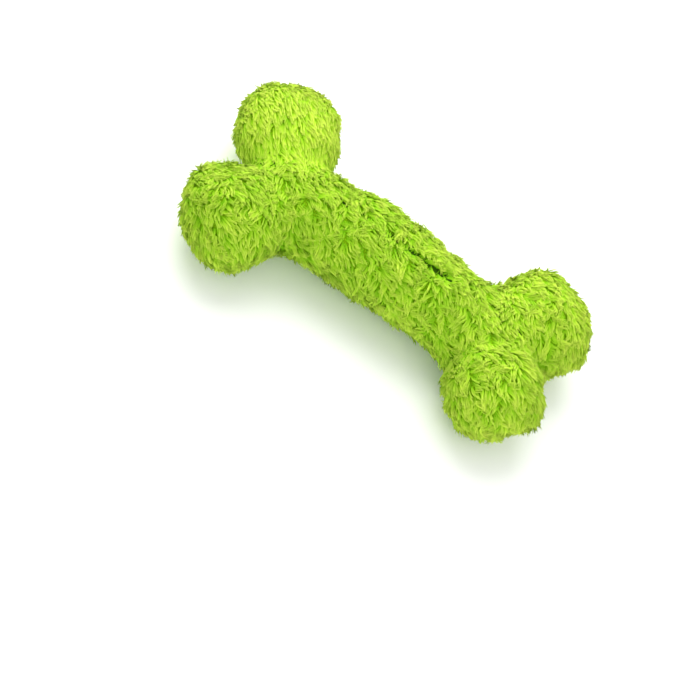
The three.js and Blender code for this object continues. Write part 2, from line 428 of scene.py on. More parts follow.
def bridgeCreases(piece):
    # cloth under tension can't follow a hollow: points in a hollow rise to the mean of their neighbours
    mesh = piece.data
    ends = np.empty(len(mesh.edges) * 2, np.int32)
    mesh.edges.foreach_get("vertices", ends)
    a, b = ends.reshape(-1, 2).T
    points = readPoints(mesh)
    degree = np.bincount(a, minlength=len(points)) + np.bincount(b, minlength=len(points))
    free = rampUp(np.abs(points[:, 2] - seamLevel), cover["bridgeFrom"], cover["bridgeTo"])
    for turn in range(cover["bridgeTurns"]):
        total = np.zeros_like(points)
        np.add.at(total, a, points[b])
        np.add.at(total, b, points[a])
        lift = total / degree[:, None] - points
        writePoints(mesh, points)
        normals = readNormals(mesh)
        rise = np.maximum((lift * normals).sum(1), 0) * free
        points += normals * (cover["bridgeShare"] * rise)[:, None]
    writePoints(mesh, points)


def buildSkin():
    skin = copyNodes("cover_skin", wadNodes)
    applyModifier(skin, "SOLIDIFY", thickness=cover["overWads"], offset=1.0)
    skin = keepLargest(voxelSkin(skin, cover["voxel"]))
    applyModifier(skin, "SMOOTH", factor=cover["smoothShare"], iterations=cover["smoothTurns"])
    bridgeCreases(skin)
    puffOut(skin)
    applyModifier(skin, "SUBSURF", levels=1, render_levels=1)
    points = readPoints(skin.data)
    points += readNormals(skin.data) * swell(points, *cover["lumps"])[:, None]
    for place, reach, move in cover["handMoves"]:
        away = np.linalg.norm(points * 1000 - place, axis=1) / reach
        points += np.exp(-away ** 2)[:, None] * np.array(move) / 1000
    start, end = cover["partRun"]
    run = rampUp(points[:, 0], start, start + cover["partEase"])
    run *= 1 - rampUp(points[:, 0], end - cover["partEase"], end)
    valley = run * np.exp(-(points[:, 1] / cover["partWidth"]) ** 2) * (points[:, 2] > seamLevel)
    points[:, 2] -= cover["partDepth"] * valley
    writePoints(skin.data, points)
    return skin


skin = buildSkin()
print("stage: cover skin,", len(skin.data.vertices), "points")


# pile: locks of fibre that grow from the skin

pile = {
    "seed": 7,
    "lockGap": 0.00152, "tuftGap": 0.0029,  # least distance between two locks' roots, and two tufts'
    "tries": 2.2,                      # roots tried for each square millimetre
    "strands": 6, "lockRadius": 0.0010, "gather": 0.60, "tuftGather": 0.35, "gatherCurve": 1.3,
    "length": (0.0060, 0.0080), "lengthWaves": (0.12, 0.012, 37),  # waves: height, length and seed
    "strandLength": (0.78, 1.06), "strandLean": (0.10, 0.15),  # how strands differ within a lock
    "fibreRadius": 0.00032, "stations": (0.0, 0.32, 0.62, 0.88), "widths": (0.8, 1.0, 0.95, 0.75),
    # lean from upright, in radians, at the root and at the tip
    "leanRoot": 1.08, "leanTip": 1.50, "leanMost": (1.35, 1.62), "gripLeast": 0.75,
    "leanSpread": 0.16, "leanWaves": (0.7, 0.011, 31), "leanTuft": 0.6, "leanLock": 0.08,
    "leanUpstream": 0.45,
    "leanZone": {"left_back": 0.16, "right_back": 0.04},  # brushed flatter there
    "toneZone": {"left_back": 0.28, "right_back": 0.08,  # painted light: paler there; and painted shade: darker on the left front knob and the shaft
                 "left_front": -0.2, "shaft_left": -0.2, "shaft_right": -0.16},
    "toneMiddle": 0.5, "toneWaves": (0.15, 0.013, 41), "toneRange": (0.02, 0.98),
    "toneTuft": 0.12, "toneClump": 0.12, "toneLock": 0.10,
    "nap": (0.65, -0.76), "napRise": (0.1, -0.4),  # brushed up the back, across the top and down the front
    "outShare": 0.12, "outFrom": -0.6,  # and a little outward, except on faces turned against the nap
    "tousleLength": 0.018, "tousleSeed": 23, "tousleKnob": 0.28, "tousleShaft": 0.50,
    "tuftTurn": 0.25, "lockTurn": 0.12,
    # locks lean together and leave partings between clumps
    "clumpLength": 0.010, "clumpSeed": 47, "clumpKnob": 0.22, "clumpShaft": 0.45,
    "waveHeight": 0.0016, "waveTurn": 6.0,  # crimped locks
    "calmZone": {"left_back": 0.4},    # straighter and more even there
    "softShade": 0.7,                  # share of the skin's own normal in a strand's shading
    "uvSide": 0.002, "uvRange": (0.01, 0.98),  # how a strand lies in the colour map
    # the parting over the slit, on faces that look up
    "partPush": 1.8, "partReach": 0.004, "partFaces": 0.3,
    "partOpen": (0.006, 0.027), "partEase": (0.006, 0.002),
    "bareSpots": [(0.0085, 0.0018, 0.0009), (0.0225, 0.0028, 0.0014)],  # x, half length and half width
    "floorGap": 0.0003,                # strands stay this far above the table
    "zoneOver": 0.0062, "shaftHalf": 0.056, "zoneSoft": 0.009,  # borders between knobs and shaft
}


def thinOut(points, gap):
    # keeps points, in their order, that stand clear of those already kept
    cells, kept = {}, []
    keys = np.floor(points / gap).astype(int).tolist()
    around = [(i, j, k) for i in (-1, 0, 1) for j in (-1, 0, 1) for k in (-1, 0, 1)]
    for index, ((x, y, z), (a, b, c)) in enumerate(zip(points.tolist(), keys)):
        near = (other for i, j, k in around for other in cells.get((a + i, b + j, c + k), ()))
        if all((x - u) ** 2 + (y - v) ** 2 + (z - w) ** 2 >= gap * gap for u, v, w in near):
            cells.setdefault((a, b, c), []).append((x, y, z))
            kept.append(index)
    return kept


def scatterRoots(mesh, rng):
    mesh.calc_loop_triangles()
    corners = np.empty(len(mesh.loop_triangles) * 3, np.int32)
    mesh.loop_triangles.foreach_get("vertices", corners)
    corners = corners.reshape(-1, 3)
    points = readPoints(mesh)
    normals = readNormals(mesh)
    a, b, c = (points[corners[:, i]] for i in range(3))
    area = np.linalg.norm(np.cross(b - a, c - a), axis=1) / 2
    count = np.floor(area * 1e6 * pile["tries"] + rng.random(len(area))).astype(int)
    pick = np.repeat(np.arange(len(area)), count)
    rng.shuffle(pick)
    s, t = rng.random(len(pick)), rng.random(len(pick))
    over = s + t > 1
    s[over], t[over] = 1 - s[over], 1 - t[over]
    share = np.stack([1 - s - t, s, t], 1)[:, :, None]
    roots = (points[corners[pick]] * share).sum(1)
    faces = unit((normals[corners[pick]] * share).sum(1))
    bare = np.zeros(len(roots), bool)
    for x, halfLength, halfWidth in pile["bareSpots"]:
        inSpot = ((roots[:, 0] - x) / halfLength) ** 2 + (roots[:, 1] / halfWidth) ** 2 < 1
        bare |= inSpot & (roots[:, 2] > seamLevel)
    roots, faces = roots[~bare], faces[~bare]
    kept = thinOut(roots, pile["lockGap"])
    return roots[kept], faces[kept]


def gatherTufts(roots):
    # each lock belongs to the nearest tuft, and a tuft's own root is one of the locks
    heads = thinOut(roots, pile["tuftGap"])
    tree = KDTree(len(heads))
    for index, head in enumerate(heads):
        tree.insert(roots[head], index)
    tree.balance()
    return np.array(heads), np.array([tree.find(root)[1] for root in roots])


def zoneOf(roots):
    # which knob, or which half of the shaft, each lock belongs to
    zones = np.where(roots[:, 0] < 0, "shaft_left", "shaft_right").astype("U24")
    for side in ("left", "right"):
        far = np.abs(roots[:, 0]) > pile["shaftHalf"]
        zones[far & (zones == "shaft_" + side)] = "end_" + side
    for name, (x, y, radius) in knobs.items():
        inside = np.hypot(roots[:, 0] - x, roots[:, 1] - y) < radius + pile["zoneOver"]
        zones[inside] = name
    return zones


def zoneShares(roots):
    # how far each lock counts to a knob or to half of the shaft, with soft borders between them
    soft = pile["zoneSoft"]
    shaft = 1 - rampUp(np.abs(roots[:, 0]), pile["shaftHalf"] - soft, pile["shaftHalf"] + soft)
    right = rampUp(roots[:, 0], -soft, soft)
    shares = {"shaft_left": shaft * (1 - right), "shaft_right": shaft * right}
    for name, (x, y, radius) in knobs.items():
        border = radius + pile["zoneOver"]
        inside = 1 - rampUp(np.hypot(roots[:, 0] - x, roots[:, 1] - y), border - soft, border + soft)
        shares = {other: share * (1 - inside) for other, share in shares.items()}
        shares[name] = inside
    return shares


def perZone(shares, values, plain):
    return plain + sum(shares[zone] * (value - plain) for zone, value in values.items())


def combDirections(roots, faces, shares, heads, tuft, rng):
    # the way that each lock lies along the skin
    flow = faces[:, :2] @ np.array(pile["nap"])
    rise = pile["napRise"][0] + pile["napRise"][1] * flow
    comb = np.column_stack([np.tile(pile["nap"], (len(roots), 1)), rise])
    comb += faces * [1, 1, 0] * (pile["outShare"] * np.clip(flow - pile["outFrom"], 0, 1))[:, None]
    top = faces[:, 2] > pile["partFaces"]
    onLine = top * np.exp(-(roots[:, 1] / pile["partReach"]) ** 2)
    (start, end), (outer, inner) = pile["partOpen"], pile["partEase"]
    opened = rampUp(roots[:, 0], start - outer, start + inner)
    opened *= 1 - rampUp(roots[:, 0], end - inner, end + outer)
    comb[:, 1] += np.sign(roots[:, 1]) * onLine * opened * pile["partPush"]
    onShaft = shares["shaft_left"] + shares["shaft_right"]
    calm = perZone(shares, pile["calmZone"], 1.0)
    clump = (pile["clumpKnob"] + (pile["clumpShaft"] - pile["clumpKnob"]) * onShaft) * calm
    comb += slopeOf(roots, pile["clumpLength"], pile["clumpSeed"]) * clump[:, None]
    flat = comb - faces * (comb * faces).sum(1)[:, None]
    grip = np.minimum(np.linalg.norm(flat, axis=1), 1)
    flat = unit(flat)
    tousle = pile["tousleKnob"] + (pile["tousleShaft"] - pile["tousleKnob"]) * onShaft
    turn = tousle * waves(roots[heads], pile["tousleLength"], pile["tousleSeed"])[tuft]
    tuftTurn = pile["tuftTurn"] * rng.normal(size=len(heads))[tuft]
    turn += tuftTurn + pile["lockTurn"] * rng.normal(size=len(roots))
    turn *= calm
    across = np.cross(faces, flat)
    flat = flat * np.cos(turn)[:, None] + across * np.sin(turn)[:, None]
    return flat, np.cross(faces, flat), grip, np.clip(-flow, 0, 1)


def growLocks(roots, faces, shares, comb, across, grip, upstream, heads, tuft, rng):
    # every strand is a closed three-sided tapering tube: rings of points, then the tip
    locks, strands = len(roots), pile["strands"]
    centre = roots[heads]
    lean = (swell(centre, *pile["leanWaves"]) + pile["leanTuft"] * rng.normal(size=len(heads)))[tuft]
    calm = perZone(shares, pile["calmZone"], 1.0)
    lean = calm * (pile["leanSpread"] * lean + pile["leanLock"] * rng.normal(size=locks))
    lean = lean + pile["leanUpstream"] * upstream
    lean += perZone(shares, pile["leanZone"], 0.0)
    held = pile["gripLeast"] + (1 - pile["gripLeast"]) * grip
    leanRoot = np.minimum((pile["leanRoot"] + lean) * held, pile["leanMost"][0])
    leanTip = np.minimum((pile["leanTip"] + lean) * held, pile["leanMost"][1])
    length = rng.uniform(*pile["length"], locks) * (1 + swell(roots, *pile["lengthWaves"]))
    wave = pile["waveHeight"] * rng.normal(size=len(heads))[tuft] * calm
    phase = rng.uniform(0, 2 * math.pi, len(heads))[tuft]
    tone = pile["toneMiddle"] + swell(roots, *pile["toneWaves"])
    tone = tone + pile["toneTuft"] * rng.normal(size=len(heads))[tuft]
    tone += swell(roots, pile["toneClump"], pile["clumpLength"], pile["clumpSeed"])
    # painted light and shade: locks paler on the back knobs, where light falls, and darker on the left front
    # knob and the shaft
    tone += perZone(shares, pile["toneZone"], 0.0)
    tone = np.clip(tone + pile["toneLock"] * rng.normal(size=locks), *pile["toneRange"])
    toHead = centre[tuft] - roots
    toHead -= faces * (toHead * faces).sum(1)[:, None]

    spot = rng.uniform(0, 2 * math.pi, (locks, strands))
    out = pile["lockRadius"] * np.sqrt(rng.random((locks, strands)))
    offset = comb[:, None] * np.cos(spot)[..., None] + across[:, None] * np.sin(spot)[..., None]
    offset = offset * out[..., None]
    stretch = length[:, None] * rng.uniform(*pile["strandLength"], (locks, strands))
    differ = rng.normal(size=(locks, strands))
    start = leanRoot[:, None] + pile["strandLean"][0] * differ
    end = leanTip[:, None] + pile["strandLean"][1] * differ
    first = faces[:, None] * np.cos(start)[..., None] + comb[:, None] * np.sin(start)[..., None]
    last = faces[:, None] * np.cos(end)[..., None] + comb[:, None] * np.sin(end)[..., None]

    def along(t):
        path = first * (t - t * t / 2) + last * (t * t / 2)
        bend = wave * np.sin(phase + pile["waveTurn"] * t) * t
        return (roots[:, None] + offset * (1 - pile["gather"] * t) + stretch[..., None] * path
                + (across * bend[:, None] + toHead * pile["tuftGather"] * t ** pile["gatherCurve"])[:, None])

    rings = []
    turn = rng.uniform(0, 2 * math.pi, (locks, strands))
    for t, width in zip(pile["stations"], pile["widths"]):
        centre = along(t)
        for side in range(3):
            angle = turn + side * 2 * math.pi / 3
            radial = across[:, None] * np.cos(angle)[..., None] + faces[:, None] * np.sin(angle)[..., None]
            rings.append(centre + radial * pile["fibreRadius"] * width)
    rings.append(along(1.0))
    points = np.stack(rings, 2).reshape(locks * strands, -1, 3)
    shade = np.repeat(faces, strands, axis=0)
    low = pile["floorGap"] * (1 + rng.random((locks * strands, 1)))
    points[:, :, 2] = np.maximum(points[:, :, 2], low)
    return points, shade, np.repeat(tone, strands)


def softNormals(mesh, shade):
    # fine fibre scatters light much as the whole surface does, so a strand takes part of the skin's normal
    own = np.empty(len(mesh.vertices) * 3, np.float32)
    mesh.vertex_normals.foreach_get("vector", own)
    mixed = unit(own.reshape(-1, 3) * (1 - pile["softShade"]) + shade * pile["softShade"])
    mesh.normals_split_custom_set_from_vertices(mixed)


def strandMesh(name, points, shade, tone):
    count, perStrand = points.shape[:2]
    rings = len(pile["stations"])
    faces = [(0, 2, 1, -1)]
    for ring in range(rings - 1):
        for side in range(3):
            a, b = 3 * ring + side, 3 * ring + (side + 1) % 3
            faces.append((a, b, b + 3, a + 3))
    tip = 3 * rings
    faces += [(3 * rings - 3 + side, 3 * rings - 3 + (side + 1) % 3, tip, -1) for side in range(3)]
    sizes = [3 if face[3] < 0 else 4 for face in faces]
    pattern = np.array([corner for face in faces for corner in face if corner >= 0])
    mesh = bpy.data.meshes.new(name)
    mesh.vertices.add(count * perStrand)
    mesh.vertices.foreach_set("co", points.astype(np.float32).ravel())
    mesh.loops.add(count * len(pattern))
    loops = (np.arange(count) * perStrand)[:, None] + pattern[None]
    mesh.loops.foreach_set("vertex_index", loops.astype(np.int32).ravel())
    mesh.polygons.add(count * len(faces))
    starts = np.concatenate([[0], np.cumsum(sizes)[:-1]])
    starts = (np.arange(count) * len(pattern))[:, None] + starts[None]
    mesh.polygons.foreach_set("loop_start", starts.astype(np.int32).ravel())
    mesh.polygons.foreach_set("use_smooth", np.ones(count * len(faces), bool))
    # u is the lock's tone and v runs from root to tip
    heights = np.repeat(np.array(pile["stations"]), 3).tolist() + [1.0]
    columns = [pile["uvSide"] * math.cos(side * 2.1) for side in range(3)] * rings + [0.0]
    uv = np.empty((count, len(pattern), 2), np.float32)
    uv[:, :, 0] = tone[:, None] + np.array(columns)[pattern][None]
    uv[:, :, 1] = (pile["uvRange"][0] + pile["uvRange"][1] * np.array(heights))[pattern][None]
    mesh.uv_layers.new(name="OFBake").data.foreach_set("uv", uv.ravel())
    mesh.update(calc_edges=True)
    mesh.validate()
    softNormals(mesh, np.repeat(shade, perStrand, axis=0))
    return newObject(name, mesh)


def pileMaterial():
    # polyester plush pile: yellow-green fibre, painted darker towards the roots as shade between the locks,
    # bright at the tips; matt with a soft sheen, and a faint glow that stands for the light scattered through
    # the fibres
    material, tree = newMaterial("lime_polyester_pile")
    place = addNode(tree, "ShaderNodeUVMap", {"uv_map": "OFBake"})
    split = addNode(tree, "ShaderNodeSeparateXYZ", {}, {0: place.outputs[0]})
    # painted shade: v runs from root to tip, and each ramp is darkest at the root
    deep = addRamp(tree, split.outputs["Y"],
                   [(0.0, "#6eb608"), (0.4, "#8cc520"), (0.75, "#a3ce34"), (1.0, "#b5d648")])
    bright = addRamp(tree, split.outputs["Y"],
                     [(0.0, "#88ca10"), (0.4, "#b2dc32"), (0.75, "#cae64c"), (1.0, "#daec60")])
    colour = addNode(tree, "ShaderNodeMix", {"data_type": "RGBA"},
                     {0: split.outputs["X"], 6: deep, 7: bright})
    finishMaterial(tree, {"Roughness": 0.85, "Specular IOR Level": 0.08, "Sheen Weight": 0.04,
                          "Sheen Roughness": 0.6, "Sheen Tint": linear("#e6ff9a"),
                          "Emission Color": linear("#84c400"), "Emission Strength": 0.1},
                   {"Base Color": colour.outputs[2]})
    return material


pileFinish = pileMaterial()


def buildPile():
    rng = np.random.default_rng(pile["seed"])
    roots, faces = scatterRoots(skin.data, rng)
    zones = zoneOf(roots)
    heads, tuft = gatherTufts(roots)
    shares = zoneShares(roots)
    lay = combDirections(roots, faces, shares, heads, tuft, rng)
    points, shade, tone = growLocks(roots, faces, shares, *lay, heads, tuft, rng)
    upper = roots[:, 2] > seamLevel
    pieces = {}
    for half, inHalf in (("upper", upper), ("lower", ~upper)):
        for zone in sorted(set(zones)):
            mine = np.repeat(inHalf & (zones == zone), pile["strands"])
            piece = strandMesh("%s_pile_%s" % (half, zone), points[mine], shade[mine], tone[mine])
            piece.data.materials.append(pileFinish)
            pieces[half, zone] = piece
            print("   ", piece.name, mine.sum(), "strands")
    return pieces


pilePieces = buildPile()
print("stage: pile")


# pieces on the upper shaft: their transform is baked into their points


def dentWith(piece):
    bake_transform(piece)


for (half, zone), piece in pilePieces.items():
    if half == "upper" and zone.startswith("shaft"):
        dentWith(piece)
    else:
        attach(piece, "bone")


# backing: a knit that shows where the pile parts over the slit

knit = {
    "loop": 0.0011, "course": 0.0014, "relief": 0.0004,
    "foldFrom": 0.0012, "foldTo": 0.0026,  # painted shade: a dark band for the shadow in the fold between the slit's lips, from the middle line
}
waveRepeat = 0.31  # a wave texture repeats every 0.31 / scale


def backingMaterial():
    # weft-knitted polyester backing: rows of tiny loops, matt, a deeper green than the pile on it, with
    # painted shade along the slit's fold
    material, tree = newMaterial("lime_knit_backing")
    place = objectPlace(tree)
    rows, courses = (
        addNode(tree, "ShaderNodeTexWave",
                {"bands_direction": way, "Scale": waveRepeat / size, "Distortion": distortion, "Detail": 1.0,
                 "Detail Scale": 0.8}, {0: place})
        for way, size, distortion in (("X", knit["loop"], 1.5), ("Y", knit["course"], 2.0)))
    loops = addMath(tree, "MULTIPLY", rows.outputs[1], courses.outputs[1])
    colour = addRamp(tree, loops, [(0.0, "#76a406"), (0.5, "#8cbe0a"), (1.0, "#98ca1c")])
    # painted shade: the fold's shadow, dark green along the middle line of the upper panel
    axes = addNode(tree, "ShaderNodeSeparateXYZ", {}, {0: place})
    aside = addMath(tree, "ABSOLUTE", axes.outputs["Y"])
    fade = addNode(tree, "ShaderNodeMapRange", {"From Min": knit["foldFrom"], "From Max": knit["foldTo"]},
                   {"Value": aside})
    below = addNode(tree, "ShaderNodeMath", {"operation": "LESS_THAN", 1: seamLevel}, {0: axes.outputs["Z"]})
    plain = addMath(tree, "MAXIMUM", fade.outputs[0], below.outputs[0])
    # the dark green mixed in here is painted shadow, not the knit's own colour
    foldShaded = addNode(tree, "ShaderNodeMix", {"data_type": "RGBA", 6: linear("#345804")}, {0: plain, 7: colour})
    bump = addBump(tree, 0.5, knit["relief"], loops)
    finishMaterial(tree, {"Roughness": 0.95, "Specular IOR Level": 0.1},
                   {"Base Color": foldShaded.outputs[2], "Normal": bump})
    return material


# panels: the skin cut along the edge seam, and the upper one also over the squeaker

def cutPanel(name, planes):
    panel = newObject(name, skin.data.copy())
    for place, away in planes:
        editAll(panel)
        bpy.ops.mesh.bisect(plane_co=place, plane_no=away, clear_outer=True)
        leaveEdit()
    applyModifier(panel, "SOLIDIFY", thickness=cover["knit"], offset=-1.0)
    shadeSmooth(panel)
    return panel


def buildPanels():
    atSeam, middle = (0, 0, seamLevel), (0, 0, 0)
    panels = {
        -1: cutPanel("upper_fleece_left", [(atSeam, (0, 0, -1)), (middle, (1, 0, 0))]),
        1: cutPanel("upper_fleece_right", [(atSeam, (0, 0, -1)), (middle, (-1, 0, 0))]),
        0: cutPanel("lower_fleece", [(atSeam, (0, 0, 1))]),
    }
    backing = backingMaterial()
    for side, panel in panels.items():
        panel.data.materials.append(backing)
        if side:
            dentWith(panel)
        else:
            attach(panel, "bone")
        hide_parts("upper_fleece_panel" if side else "lower_fleece_panel")


buildPanels()
print("stage: panels")


# sewing: a line of lockstitches round the edge, and ladder stitches that close the slit

sewing = {
    "thread": 0.0004, "twist": 0.0006,  # radius, and the length of a ply's turn
    "lockPitch": 0.0030, "lockDip": 0.0008, "lockInset": 0.0004, "lockPoints": 5,
    "ladderPitch": 0.005, "ladderReach": 0.0025, "ladderOver": 0.0003, "ladderPoints": 5,
    "rayFrom": 0.1,            # above the toy, to find the skin under a stitch
}


def threadMaterial():
    # twisted polyester thread: two plies wind round each other, with a slight shine along the twist
    material, tree = newMaterial("lime_polyester_thread")
    place = objectPlace(tree)
    turned = addNode(tree, "ShaderNodeMapping", {"Rotation": (0.6, 0.5, 0.7)}, {0: place})
    plies = addNode(tree, "ShaderNodeTexWave",
                    {"bands_direction": "DIAGONAL", "Scale": waveRepeat / sewing["twist"],
                     "Distortion": 0.6}, {0: turned.outputs[0]})
    colour = addRamp(tree, plies.outputs[1], [(0.0, "#4c7404"), (0.6, "#64940c"), (1.0, "#78a81a")])
    bump = addBump(tree, 0.6, 0.0002, plies.outputs[1])
    finishMaterial(tree, {"Roughness": 0.6, "Specular IOR Level": 0.12},
                   {"Base Color": colour, "Normal": bump})
    return material


threadFinish = threadMaterial()


def threadPiece(name, points, cyclic, node):
    curve = bpy.data.curves.new(name, "CURVE")
    curve.dimensions = "3D"
    curve.bevel_depth = sewing["thread"]
    curve.bevel_resolution = 1
    curve.use_fill_caps = True
    spline = curve.splines.new("POLY")
    spline.points.add(len(points) - 1)
    spline.points.foreach_set("co", np.column_stack([points, np.ones(len(points))]).ravel())
    spline.use_cyclic_u = cyclic
    activate(newObject(name, curve))
    bpy.ops.object.convert(target="MESH")
    piece = bpy.context.object
    editAll(piece)
    bpy.ops.mesh.normals_make_consistent(inside=False)
    leaveEdit()
    shadeSmooth(piece)
    piece.data.materials.clear()
    piece.data.materials.append(threadFinish)
    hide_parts(node)
    return piece


def seamLine():
    # the skin's outline at the seam, as points in order
    ring = newObject("seam_ring", skin.data.copy())
    editAll(ring)
    bpy.ops.mesh.bisect(plane_co=(0, 0, seamLevel), plane_no=(0, 0, 1), clear_inner=True, clear_outer=True)
    bpy.ops.mesh.select_all(action="SELECT")
    bpy.ops.mesh.remove_doubles(threshold=1e-5)
    leaveEdit()
    points = readPoints(ring.data)
    beside = {}
    for a, b in (edge.vertices for edge in ring.data.edges):
        beside.setdefault(a, []).append(b)
        beside.setdefault(b, []).append(a)
    order = [0, beside[0][0]]
    while order[-1] != 0:
        order.append(next(k for k in beside[order[-1]] if k != order[-2]))
    bpy.data.objects.remove(ring, do_unlink=True)
    return points[order]


def sewEdge():
    line = seamLine()
    step = np.linalg.norm(np.diff(line, axis=0), axis=1)
    run = np.concatenate([[0], np.cumsum(step)])
    count = int(run[-1] / sewing["lockPitch"]) * sewing["lockPoints"]
    along = np.linspace(0, run[-1], count, endpoint=False)
    points = np.stack([np.interp(along, run, line[:, i]) for i in range(3)], 1)
    ahead = np.roll(points, -3, axis=0) - np.roll(points, 3, axis=0)
    inward = unit(np.stack([-ahead[:, 1], ahead[:, 0], np.zeros(count)], 1))
    signed = (points[:, 0] * np.roll(points[:, 1], -1) - np.roll(points[:, 0], -1) * points[:, 1]).sum()
    inward *= 1 if signed > 0 else -1
    phase = np.arange(count) / sewing["lockPoints"]
    dip = sewing["lockDip"] * (1 - np.sqrt(np.abs(np.sin(math.pi * phase))))
    points += inward * (sewing["lockInset"] + dip)[:, None]
    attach(threadPiece("edge_lockstitches", points, True, "edge_seam_thread"), "bone")


def sewSlit():
    mesh = skin.data
    tree = BVHTree.FromPolygons([v.co for v in mesh.vertices], [p.vertices for p in mesh.polygons])
    corners = []
    for i in range(round((slitEnd - slitStart) / sewing["ladderPitch"]) + 1):
        x = slitStart + sewing["thread"] + i * sewing["ladderPitch"]
        lip = sewing["ladderReach"] * (1 if i % 2 else -1)
        corners += [(x, -lip), (x, lip)]
    corners = corners[1:-1]
    path = []
    for (x0, y0), (x1, y1) in zip(corners, corners[1:]):
        steps = np.linspace(0, 1, sewing["ladderPoints"], endpoint=False)
        path += [(x0 + (x1 - x0) * t, y0 + (y1 - y0) * t) for t in steps]
    path = np.array(path + [corners[-1]])
    for turn in range(2):
        path[1:-1] = (path[:-2] + 2 * path[1:-1] + path[2:]) / 4
    down = Vector((0, 0, -1))
    heights = [tree.ray_cast(Vector((x, y, sewing["rayFrom"])), down)[0].z for x, y in path]
    points = np.column_stack([path, np.array(heights) + sewing["ladderOver"]])
    split = int(np.argmax(points[:, 0] > 0))
    dentWith(threadPiece("closing_stitches_left", points[:split + 1], False, "closing_stitches"))
    dentWith(threadPiece("closing_stitches_right", points[split:], False, "closing_stitches"))


sewEdge()
sewSlit()
print("stage: sewing")


# stuffing: lumpy wads of fibre, each in the space of its solid

stuffing = {
    "voxel": 0.0017, "smoothShare": 0.5, "smoothTurns": 5, "under": 0.0006,
    "lump": 0.0006, "lumpLength": 0.012, "lumpSeed": 50,
    "fluff": 0.00028, "fluffLength": 0.0042, "fluffSeed": 70, "fluffWaves": 9,
    "tangle": 0.0022, "cloud": 0.014,  # in the colour: crimped fibre and denser places
}


def fillMaterial():
    # polyester fibrefill: a mat of fine crimped white fibre, soft and without gloss
    material, tree = newMaterial("white_polyester_fibrefill")
    place = objectPlace(tree)
    tangle = addNode(tree, "ShaderNodeTexNoise",
                     {"Scale": 1 / stuffing["tangle"], "Detail": 4.0, "Roughness": 0.65, "Distortion": 2.5},
                     {0: place})
    cloud = addNode(tree, "ShaderNodeTexNoise", {"Scale": 1 / stuffing["cloud"], "Detail": 2.0}, {0: place})
    both = addNode(tree, "ShaderNodeMath", {"operation": "MULTIPLY_ADD", 1: 0.5},
                   {0: tangle.outputs[0], 2: cloud.outputs[0]})
    colour = addRamp(tree, both.outputs[0], [(0.45, "#dcdbd4"), (0.7, "#efeee8"), (0.95, "#fbfaf6")])
    bump = addBump(tree, 0.7, 0.0008, tangle.outputs[0])
    finishMaterial(tree, {"Roughness": 1.0, "Specular IOR Level": 0.1, "Sheen Weight": 0.3,
                          "Sheen Roughness": 0.5},
                   {"Base Color": colour, "Normal": bump})
    return material


def buildStuffing():
    fibre = fillMaterial()
    for index, node in enumerate(wadNodes):
        wad = voxelSkin(copyNodes(node.replace("fill", "stuffing"), [node]), stuffing["voxel"])
        applyModifier(wad, "SMOOTH", factor=stuffing["smoothShare"], iterations=stuffing["smoothTurns"])
        points = readPoints(wad.data)
        rise = swell(points, stuffing["lump"], stuffing["lumpLength"], stuffing["lumpSeed"] + index)
        rise += stuffing["fluff"] * waves(points, stuffing["fluffLength"], stuffing["fluffSeed"] + index,
                                          stuffing["fluffWaves"])
        points += readNormals(wad.data) * np.minimum(rise - stuffing["under"], 0)[:, None]
        writePoints(wad.data, points)
        shadeSmooth(wad)
        wad.data.materials.append(fibre)
        if node.startswith("shaft"):
            dentWith(wad)
        else:
            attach(wad, "squeaker_top" if node == "squeaker_fill_pad" else "bone")
        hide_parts(node)


buildStuffing()
print("stage: stuffing")


# squeaker: two moulded cups with a pleated bellows between them, and a reed in the lower one

squeaker = {
    "turnSteps": 72, "edgeRound": 0.00022, "wall": 0.0012, "holeRadius": 0.0045,
    "bevelAngle": 40, "smoothAngle": 35, "capRound": (0.4, 0.8, 1.2), "flowSize": 0.006,
    "pleats": 3, "fold": 0.003, "bellowsWall": 0.0008, "pleatPoints": 12,
    "ringRadius": 0.008, "ringWidth": 0.0012, "ringDepth": 0.0003,
    "tubeRadius": 0.0042, "boreRadius": 0.003, "airHole": 0.0015, "flange": 0.001, "ledge": 0.001,
    "plugRound": 0.00012, "stripRound": 0.00004,
}


def easeEdges(piece, width, segments):
    if width:
        applyModifier(piece, "BEVEL", width=width, segments=segments, limit_method="ANGLE",
                      angle_limit=math.radians(squeaker["bevelAngle"]))
    activate(piece)
    bpy.ops.object.shade_smooth_by_angle(angle=math.radians(squeaker["smoothAngle"]))
    return piece


def spunPiece(name, profile, edgeRound):
    # a closed profile of radius and height, or one that starts and ends on the axis, turned about Z
    mesh = bpy.data.meshes.new(name)
    edges = [(i, i + 1) for i in range(len(profile) - 1)]
    if profile[0][0] > 0:
        edges.append((len(profile) - 1, 0))
    mesh.from_pydata([(r, 0, z) for r, z in profile], edges, [])
    piece = newObject(name, mesh)
    editAll(piece)
    bpy.ops.mesh.spin(steps=squeaker["turnSteps"], angle=2 * math.pi, center=(0, 0, 0), axis=(0, 0, 1))
    bpy.ops.mesh.select_all(action="SELECT")
    bpy.ops.mesh.remove_doubles(threshold=1e-6)
    bpy.ops.mesh.normals_make_consistent(inside=False)
    leaveEdit()
    return easeEdges(piece, edgeRound, 3)


def softened(name, node, edgeRound):
    # a CAD solid with its sharp edges eased
    return easeEdges(copyNodes(name, [node]), edgeRound, 2)


